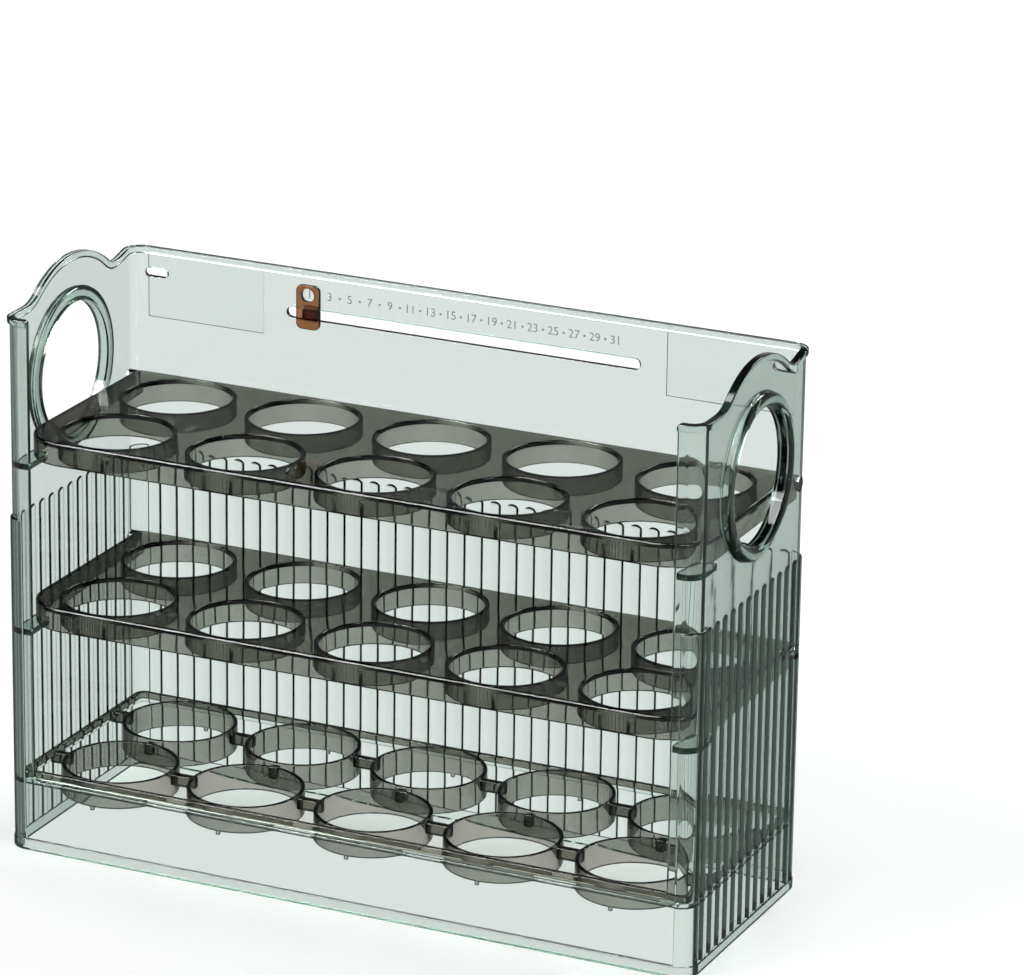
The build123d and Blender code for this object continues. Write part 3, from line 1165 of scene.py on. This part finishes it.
    def build(self) -> bpy.types.Object:
        """Makes the case: skins, edges and corner ledges of one half, then its mirror image.

        Returns:
            The finished piece.
        """
        rims = self.rims()
        self.cut_rims(rims)
        outer = ("base", "open_edge", "date_slot")
        outline = np.vstack([rims[name].line for name in outer])
        plan = [np.vstack([outline, outline[:1]])]
        plan += [rim.line for name, rim in rims.items() if name not in outer]
        spare = self.crease_overrun
        tall, wide = self.ring_z + self.hump_radius + spare, self.front_middle + spare
        bars = [upright_line(place, -spare, tall) for place in self.corner_lines()]
        rows = [level_line(z, -spare, wide) for z in self.bead_levels(self.base_bead)[:, 0]]
        sills = [level_line(z, -spare, wide) for z in self.sill_levels()[:, 0]]
        falls = (0.0, self.ring_inset_fall)
        sills += [self.ring_circle(self.ring_outer - fall) for fall in falls]
        ledges = [self.ledge_plan(z) for z in self.corner_ledge_tops]
        surface = Surface()
        for edges, creases, height in (
            (plan, bars + rows + self.outer_creases(), self.outer_height),
            (plan + ledges, bars + sills, self.inner_height),
        ):
            flat, faces = plan_mesh(edges, creases)
            u, z = flat[:, 0], flat[:, 1]
            surface.add(self.place(u, z, height(u, z)), faces)
        for rim in rims.values():
            surface.add_grid(self.edge(rim))
        for z in self.corner_ledge_tops:
            self.add_ledge(surface, z)
        surface.mirror_x()
        return smooth_piece(surface.to_mesh("case_shell"))

    def edge(self, rim: Rim) -> np.ndarray:
        """Rounded edge between the skins: out by r sin t and down by r (1 - cos t), and back.

        Args:
            rim: The edge in the wall's plan.

        Returns:
            Grid of points, along the rim by across the edge.
        """
        u, z = rim.line[:, 0], rim.line[:, 1]
        out = rim.rounding * np.concatenate([np.sin(QUARTER), np.cos(QUARTER)])
        drop = rim.rounding * (1 - np.cos(QUARTER))
        outer = self.outer_height(u, z)[:, None] - drop
        inner = self.inner_height(u, z)[:, None] + drop[::-1]
        across_u = u[:, None] + rim.away[:, :1] * out
        across_z = z[:, None] + rim.away[:, 1:] * out
        return self.place(across_u, across_z, np.hstack([outer, inner]))

    def ledge_places(self) -> np.ndarray:
        """Places along the wall of a corner ledge's columns, from the side to the flange.

        Returns:
            The places.
        """
        start = float(self.side_u(np.array(self.corner_ledge_reach - self.outer_half_depth)))
        lines = self.corner_lines()
        corner = lines[lines > self.side_end]
        end = self.flange_edge - self.edge_rounding - self.corner_ledge_inset
        return np.concatenate([[start, (start + self.side_end) / 2], corner, [end]])

    def ledge_plan(self, top: float) -> np.ndarray:
        """Closed outline on the inner skin where a corner ledge starts.

        Args:
            top: Height of the ledge's upper face.

        Returns:
            Points of the outline.
        """
        places = self.ledge_places()
        upper = at_level(places[:, None], top)[:, 0]
        lower = at_level(places[::-1, None], top - self.corner_ledge_thickness)[:, 0]
        return np.vstack([upper, lower, upper[:1]])

    def add_ledge(self, surface: Surface, top: float) -> None:
        """Adds a corner ledge: straight rules from the wall to the tray's cut, with round edges.

        Args:
            surface: The case's patches.
            top: Height of its upper face.
        """
        places = self.ledge_places()
        wall = self.place(places, np.zeros_like(places), np.full(len(places), -self.wall))[:, :2]
        cut_x, cut_y, cut_radius = self.corner_ledge_cut
        flange_x = self.outer_half_width - self.flange_width + self.corner_ledge_lap
        flange_y = self.wall - self.outer_half_depth + self.corner_ledge_gap
        start_y = self.corner_ledge_reach - self.outer_half_depth
        start_x = cut_x + math.sqrt(cut_radius**2 - (start_y - cut_y) ** 2)
        first = turn_of(start_y - cut_y, start_x - cut_x)
        last = -math.degrees(math.acos((flange_x - cut_x) / cut_radius))
        cut = arc((cut_x, cut_y), cut_radius, first, last, self.ledge_points)
        line = np.vstack([cut, [[flange_x, flange_y]]])
        lengths, along = (
            np.concatenate([[0.0], np.cumsum(np.linalg.norm(np.diff(path, axis=0), axis=1))])
            for path in (line, wall)
        )
        along *= lengths[-1] / along[-1]
        lip = np.column_stack([np.interp(along, lengths, line[:, k]) for k in (0, 1)])
        reach = np.linalg.norm(lip - wall, axis=1)[:, None]
        radius = np.minimum(self.corner_ledge_rounding, reach / 2)
        shares = np.hstack([0 * reach, 1 - radius / reach * (1 - np.sin(QUARTER))])
        shares = np.hstack([shares, shares[:, ::-1]])
        drops = np.hstack([0 * reach, radius * (1 - np.cos(QUARTER))])
        heights = np.hstack([top - drops, top - self.corner_ledge_thickness + drops[:, ::-1]])
        flat = wall[:, None, :] + shares[..., None] * (lip - wall)[:, None, :]
        grid = np.concatenate([flat, heights[..., None]], axis=2)
        surface.add_grid(grid)
        surface.add_cap(grid[0])
        surface.add_cap(grid[-1])


@dataclass
class Cups:
    """Egg cups in two rows: collars round the holes that eggs stand in, in millimetres."""

    columns: int = 5
    pitch_x: float = 49.0
    pitch_y: float = 43.6
    hole_radius: float = 19.0
    collar_wall: float = 1.5
    steps: int = 72

    @property
    def collar_radius(self) -> float:
        """Outer radius of a collar."""
        return self.hole_radius + self.collar_wall

    @property
    def middles_x(self) -> np.ndarray:
        """Places of the columns across the box."""
        return (np.arange(self.columns) - (self.columns - 1) / 2) * self.pitch_x

    def centres(self, row: Row) -> list:
        """Centres of the cups of one row."""
        return [(float(x), row.value * self.pitch_y / 2) for x in self.middles_x]

    def hole(self, centre: tuple) -> np.ndarray:
        """Edge of a cup's hole, with the plastic on its left."""
        return arc(centre, self.hole_radius, 90.0, -270.0, self.steps + 1)

    def collar(self, centre: tuple) -> np.ndarray:
        """Outer edge of a cup's collar, with the plastic on its left."""
        return arc(centre, self.collar_radius, -90.0, 270.0, self.steps + 1)


@dataclass
class FlipTray:
    """Flip tray: a deck with ten collared cups, a skirt round three sides and two hinge pins.

    The faces are flats at three levels, the deck's top, its underside and the foot of the skirt
    and collars, joined by upright walls with round shoulders. Sizes are in millimetres.
    """

    name: str
    half_width: float
    front_y: float
    deck_z: float
    pin_y: float
    cups: Cups = field(default_factory=Cups)
    front_radius: float = 16.0
    back_radius: float = 3.0
    deck: float = 2.0
    skirt: float = 1.6
    drop: float = 8.2
    deck_rounding: float = 0.9
    hole_rounding: float = 0.5
    foot_rounding: float = 0.3
    weld_margin: float = 2.0
    pin_radius: float = 2.7
    pin_length: float = 2.7
    pin_drop: float = 2.4
    pin_steps: int = 32
    back_points: int = 4
    heel_points: int = 6
    front_points: int = 17
    weld_points: int = 61
    heel_reach: float = 2.5475

    @classmethod
    def in_box(cls, name: str, low: Vector, high: Vector) -> "FlipTray":
        """Tray whose pins, skirt and foot reach the sides of its CAD box.

        Args:
            name: Name of the tray.
            low: The box's lower corner, in metres.
            high: Its upper corner, in metres.

        Returns:
            The tray.
        """
        return cls(
            name,
            half_width=high.x / MM - cls.pin_length,
            front_y=low.y / MM,
            deck_z=low.z / MM + cls.drop,
            pin_y=high.y / MM - cls.pin_radius,
        )

    def outline(self) -> tuple:
        """Back stretch and skirt stretch of the deck's outline, which meet where the skirt ends.

        Returns:
            The two stretches.
        """
        bend = self.back_radius
        core_x = self.half_width - bend
        core_y = self.pin_y + self.heel_reach - bend
        turn = math.degrees(math.acos((bend - self.skirt) / bend))
        back = np.vstack([
            arc((core_x, core_y), bend, turn, 90.0, self.back_points),
            arc((-core_x, core_y), bend, 90.0, 180.0 - turn, self.back_points),
        ])
        skirt = np.vstack([
            arc((-core_x, core_y), bend, 180.0 - turn, 180.0, self.heel_points),
            self.front_bend(-1, self.front_radius)[::-1],
            self.front_bend(1, self.front_radius)[::-1],
            arc((core_x, core_y), bend, 0.0, turn, self.heel_points),
        ])
        return back, skirt

    def front_bend(self, side: int, radius: float) -> np.ndarray:
        """Quarter circle round a front corner, clockwise seen from above.

        Args:
            side: -1 for the left corner, 1 for the right.
            radius: Radius of the bend.

        Returns:
            Points of the bend.
        """
        centre = (side * (self.half_width - self.front_radius), self.front_y + self.front_radius)
        start = 90.0 * (side - 1) / 2
        return arc(centre, radius, start, start - 90.0, self.front_points)

    def inner_line(self, start: np.ndarray, end: np.ndarray) -> tuple:
        """Inner edge of the skirt from right to left, round the front collars moulded on it.

        Args:
            start: Where the skirt ends at the right.
            end: Where it ends at the left.

        Returns:
            The line, and the points where the collars leave the skirt.
        """
        bend = self.front_radius - self.skirt
        face_y = self.front_y + self.skirt
        radius = self.cups.collar_radius
        spare = np.array([[self.weld_margin, 0.0]])
        lines, welds = [start[None], self.front_bend(1, bend)], []
        for centre in self.cups.centres(Row.FRONT)[::-1]:
            turn = math.degrees(math.asin((centre[1] - face_y) / radius))
            collar = arc(centre, radius, -turn, 180.0 + turn, self.weld_points)
            lines += [collar[:1] + spare, collar, collar[-1:] - spare]
            welds += [collar[0], collar[-1]]
        lines += [self.front_bend(-1, bend), end[None]]
        return np.vstack(lines), np.array(welds)

    def body(self) -> Surface:
        """Deck, skirt and collars as one closed surface, with the deck's top at height zero.

        Returns:
            The surface.
        """
        surface = Surface()
        back, skirt = self.outline()
        inner, welds = self.inner_line(skirt[-1], skirt[0])
        foot_line = np.vstack([skirt, inner[1:]])
        near = np.linalg.norm(foot_line[:, None] - welds[None], axis=2).min(axis=1)
        foot = Rim(foot_line, self.foot_rounding * np.minimum(1.0, near / self.weld_margin))
        deck = Rim(np.vstack([back, skirt[1:]]), self.deck_rounding)
        top = deck.shoulder(0.0, -1.0)
        low = foot.shoulder(-self.drop, 1.0)[:, ::-1]
        turn, count, under = len(back), len(skirt), -self.deck
        surface.add_grid(np.concatenate([top[:turn], at_level(back, under)], axis=1))
        walls = [top[turn - 1:], at_level(skirt, under), low[:count]]
        surface.add_grid(np.concatenate(walls, axis=1))
        surface.add_grid(np.concatenate([at_level(inner, under), low[count - 1:]], axis=1))
        deck_rims, foot_rims = [deck.line], [foot.line]
        under_rims = [np.vstack([inner, back[::-1][1:]])]
        for centre in self.cups.centres(Row.FRONT) + self.cups.centres(Row.BACK):
            hole = self.cups.hole(centre)
            upper, lower = Rim(hole, self.hole_rounding), Rim(hole, self.foot_rounding)
            surface.add_wall(upper, lower, 0.0, -self.drop)
            deck_rims.append(upper.line)
            foot_rims.append(lower.line)
        for centre in self.cups.centres(Row.BACK):
            line = self.cups.collar(centre)
            collar = Rim(line, self.foot_rounding)
            low = collar.shoulder(-self.drop, 1.0)[:, ::-1]
            surface.add_grid(np.concatenate([at_level(line, under), low], axis=1))
            under_rims.append(line)
            foot_rims.append(collar.line)
        surface.add_flat(deck_rims, 0.0)
        surface.add_flat(under_rims, under)
        surface.add_flat(foot_rims, -self.drop)
        return surface

    def pin(self, side: int) -> Surface:
        """Hinge pin of one end: a bevelled profile turned about the hinge line.

        Args:
            side: -1 for the left end, 1 for the right.

        Returns:
            The pin, from inside the skirt to its face.
        """
        start = self.half_width - self.skirt / 2
        end = self.half_width + self.pin_length
        bevel = self.foot_rounding
        along = np.array([start, start, end - bevel, end, end])
        radius = np.array([0.0, self.pin_radius, self.pin_radius, self.pin_radius - bevel, 0.0])
        turn = np.radians(np.linspace(0, 360, self.pin_steps + 1))[:, None]
        grid = np.stack([
            side * along + 0 * turn,
            self.pin_y + radius * np.cos(turn),
            radius * np.sin(turn) - self.pin_drop,
        ], axis=-1)
        surface = Surface()
        surface.add_grid(grid)
        return surface

    def build(self) -> bpy.types.Object:
        """Makes the tray at its height.

        Returns:
            The finished piece.
        """
        solids = [self.body(), self.pin(-1), self.pin(1)]
        for solid in solids:
            solid.lift(self.deck_z)
        return smooth_piece(fuse(self.name, solids))


@dataclass
class BottomTray:
    """Bottom tray: open collars tied by bridges inside a thin rail, with pips, in millimetres."""

    half_width: float
    half_depth: float
    rim_z: float
    cups: Cups = field(default_factory=Cups)
    rail_width: float = 2.0
    rail_height: float = 2.4
    rail_below_rim: float = 0.1
    rail_radius: float = 2.5
    collar_height: float = 9.3
    bridge_width: float = 3.0
    bridge_height: float = 4.0
    bridge_drop: float = 0.6
    pip_width: float = 1.2
    pip_drop: float = 1.3
    pip_rounding: float = 0.2
    rounding: float = 0.35

    @classmethod
    def in_box(cls, high: Vector) -> "BottomTray":
        """Tray whose rail and collars reach the upper corner of its CAD box."""
        return cls(high.x / MM, high.y / MM, high.z / MM)

    def spans(self) -> list:
        """Bridges from cup to cup, from cup to rail, and from row to row.

        Returns:
            Lines from end to end.
        """
        reach = self.cups.hole_radius + self.cups.collar_wall / 2
        rail_x = self.half_width - self.rail_width / 2
        middles = self.cups.middles_x
        gaps = [(a + reach, b - reach) for a, b in zip(middles[:-1], middles[1:])]
        gaps += [(middles[-1] + reach, rail_x), (-rail_x, middles[0] - reach)]
        row_y = self.cups.pitch_y / 2
        spans = [level_line(y, a, b) for a, b in gaps for y in (-row_y, row_y)]
        return spans + [upright_line(x, reach - row_y, row_y - reach) for x in middles]

    def solids(self) -> list:
        """Rail, collars, bridges and pips, each closed and each reaching into its neighbours.

        Returns:
            The closed surfaces.
        """
        half = self.rail_width / 2
        sides = (self.half_width - half, self.half_depth - half)
        rail = rounded_rectangle((0.0, 0.0), sides, self.rail_radius)
        rail_top = self.rim_z - self.rail_below_rim
        strips = [(rail, self.rail_width, rail_top - self.rail_height, rail_top, self.rounding)]
        reach = self.cups.hole_radius + self.cups.collar_wall / 2
        foot = self.rim_z - self.collar_height
        pip_foot, pip_top = foot - self.pip_drop, foot + self.pip_drop
        half = self.pip_width / 2
        for row in Row:
            for x, y in self.cups.centres(row):
                collar = arc((x, y), reach, 0.0, 360.0, self.cups.steps + 1)
                strips.append((collar, self.cups.collar_wall, foot, self.rim_z, self.rounding))
                pip = level_line(y + row.value * reach, x - half, x + half)
                strips.append((pip, self.pip_width, pip_foot, pip_top, self.pip_rounding))
        top = self.rim_z - self.bridge_drop
        low = top - self.bridge_height
        strips += [(span, self.bridge_width, low, top, self.rounding) for span in self.spans()]
        solids = [Surface() for _ in strips]
        for solid, strip in zip(solids, strips):
            solid.add_strip(*strip)
        return solids

    def build(self) -> bpy.types.Object:
        """Makes the tray."""
        return smooth_piece(fuse("bottom_tray_insert", self.solids()))


@dataclass
class DateMarker:
    """Date marker: a tab with a round window, a stem and a snap head, in millimetres.

    It is laid out flat, with the tab's face up, and then stood up against the back wall.
    """

    middle_x: float
    foot_z: float
    front_y: float
    width: float = 9.0
    height: float = 16.0
    thickness: float = 1.6
    corner_radius: float = 2.2
    window_radius: float = 2.4
    window_above_foot: float = 12.4
    window_points: int = 41
    slot_above_foot: float = 5.0
    stem_width: float = 5.0
    stem_height: float = 3.4
    stem_length: float = 2.4
    stem_sink: float = 0.4
    stem_rounding: float = 0.2
    head_height: float = 5.8
    head_thickness: float = 0.9
    head_rounding: float = 0.3
    rounding: float = 0.35
    wall_gap: float = 0.2

    @classmethod
    def in_box(cls, low: Vector, high: Vector) -> "DateMarker":
        """Marker whose tab and head reach the sides of its CAD box."""
        return cls((low.x + high.x) / 2 / MM, low.z / MM, low.y / MM)

    def solids(self) -> list:
        """Tab, stem and head, each closed and each reaching into its neighbour.

        Returns:
            The closed surfaces.
        """
        face = -self.front_y
        back = face - self.thickness
        middle = (self.middle_x, self.foot_z + self.height / 2)
        line = rounded_rectangle(middle, (self.width / 2, self.height / 2), self.corner_radius)
        window = (self.middle_x, self.foot_z + self.window_above_foot)
        edges = [
            Rim(line, self.rounding),
            Rim(arc(window, self.window_radius, 90.0, -270.0, self.window_points), self.rounding),
        ]
        tab, stem, head = Surface(), Surface(), Surface()
        for edge in edges:
            tab.add_wall(edge, edge, face, back)
        for level in (face, back):
            tab.add_flat([edge.line for edge in edges], level)
        left, right = self.middle_x - self.stem_width / 2, self.middle_x + self.stem_width / 2
        ends = level_line(self.foot_z + self.slot_above_foot, left, right)
        inner = back - self.stem_length
        outer = inner - self.head_thickness
        sink = self.stem_sink
        stem.add_strip(ends, self.stem_height, inner - sink, back + sink, self.stem_rounding)
        head.add_strip(ends, self.head_height, outer, inner, self.head_rounding)
        return [tab, stem, head]

    def build(self) -> bpy.types.Object:
        """Makes the marker against the back wall.

        Returns:
            The finished piece.
        """
        solids = self.solids()
        for solid in solids:
            solid.stand_up()
        return smooth_piece(fuse("date_marker_tab", solids))


@dataclass
class DateScale:
    """Scale over the marker's slot: odd days of a month and dots between, in millimetres.

    Labels are laid out flat and then stood up, a hair in front of the back wall's inner face.
    """

    start_x: float
    middle_z: float
    face_y: float
    length: float = 116.0
    days: tuple = tuple(range(1, 32, 2))
    letter_size: float = 4.3
    letter_steps: int = 4
    thickness: float = 0.06
    gap: float = 0.02
    dot_radius: float = 0.45
    dot_points: int = 17

    @classmethod
    def beside(cls, marker: DateMarker) -> "DateScale":
        """Scale that starts at the marker, level with its window."""
        window_z = marker.foot_z + marker.window_above_foot
        return cls(marker.middle_x, window_z, marker.front_y + marker.thickness + marker.wall_gap)

    def add_numeral(self, scale: Surface, day: int, x: float) -> None:
        """Adds one day's number, from the built-in font, as a thin raised solid.

        Args:
            scale: The scale's patches.
            day: The number.
            x: Its middle.
        """
        curve = bpy.data.curves.new("numeral", "FONT")
        curve.body = str(day)
        curve.align_x = "CENTER"
        curve.align_y = "CENTER"
        curve.size = self.letter_size
        curve.extrude = self.thickness / 2
        curve.resolution_u = self.letter_steps
        letters = bpy.data.objects.new("numeral", curve)
        mesh = bpy.data.meshes.new_from_object(letters)
        mesh.calc_loop_triangles()
        points = np.empty(3 * len(mesh.vertices))
        mesh.vertices.foreach_get("co", points)
        corners = np.empty(3 * len(mesh.loop_triangles), dtype=np.int32)
        mesh.loop_triangles.foreach_get("vertices", corners)
        face = self.gap + self.thickness / 2 - self.face_y
        scale.add(points.reshape(-1, 3) + (x, self.middle_z, face), corners.reshape(-1, 3))
        bpy.data.objects.remove(letters)
        bpy.data.curves.remove(curve)
        bpy.data.meshes.remove(mesh)

    def add_dot(self, scale: Surface, x: float) -> None:
        """Adds one dot between two numbers.

        Args:
            scale: The scale's patches.
            x: Its middle.
        """
        line = arc((x, self.middle_z), self.dot_radius, 0.0, 360.0, self.dot_points)
        levels = (self.gap - self.face_y, self.gap - self.face_y + self.thickness)
        scale.add_grid(np.concatenate([at_level(line, level) for level in levels], axis=1))
        for level in levels:
            scale.add_flat([line], level)

    def build(self) -> bpy.types.Object:
        """Makes the scale as one piece of separate labels.

        Returns:
            The finished piece.
        """
        step = self.length / (len(self.days) - 1)
        scale = Surface()
        for number, day in enumerate(self.days):
            self.add_numeral(scale, day, self.start_x + number * step)
        for number in range(len(self.days) - 1):
            self.add_dot(scale, self.start_x + (number + 0.5) * step)
        scale.stand_up()
        return smooth_piece(scale.to_mesh("date_scale"))


def mount(piece: bpy.types.Object, body: str, node: str, finish: ClearPlastic) -> None:
    """Gives a piece its finish and puts it on its body in place of a CAD node.

    Args:
        piece: The new piece.
        body: Body that it rides on.
        node: CAD node that it replaces.
        finish: Plastic that it is moulded from.
    """
    piece.data.materials.clear()
    piece.data.materials.append(finish.material())
    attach(piece, body)
    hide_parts(node)


def main() -> None:
    """Builds the scene in order."""
    logging.basicConfig(level=logging.INFO, format="%(message)s")
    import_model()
    scene = bpy.context.scene
    scene.view_settings.view_transform = "Standard"
    scene.cycles.max_bounces = 32
    scene.cycles.transmission_bounces = 32
    scene.cycles.glossy_bounces = 16
    scene.cycles.transparent_max_bounces = 32
    Studio().build()
    case = CaseShell.in_box(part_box("case")[1])
    mount(case.build(), "case_body", "case", CASE_PLASTIC)
    for tier in Tier:
        tray = FlipTray.in_box(f"{tier.value}_flip_tray", *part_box(f"{tier.value}_tray"))
        mount(tray.build(), f"{tier.value}_tray_body", f"{tier.value}_tray", TRAY_PLASTIC)
    bottom = BottomTray.in_box(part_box("bottom_tray")[1])
    mount(bottom.build(), "case_body", "bottom_tray", TRAY_PLASTIC)
    marker = DateMarker.in_box(*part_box("date_marker"))
    mount(marker.build(), "date_marker_body", "date_marker", MARKER_PLASTIC)
    scale = DateScale.beside(marker).build()
    scale.data.materials.append(SCALE_RELIEF.material())
    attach(scale, "case_body")
    LOG.info("sizes written")


if __name__ == "__main__":
    main()
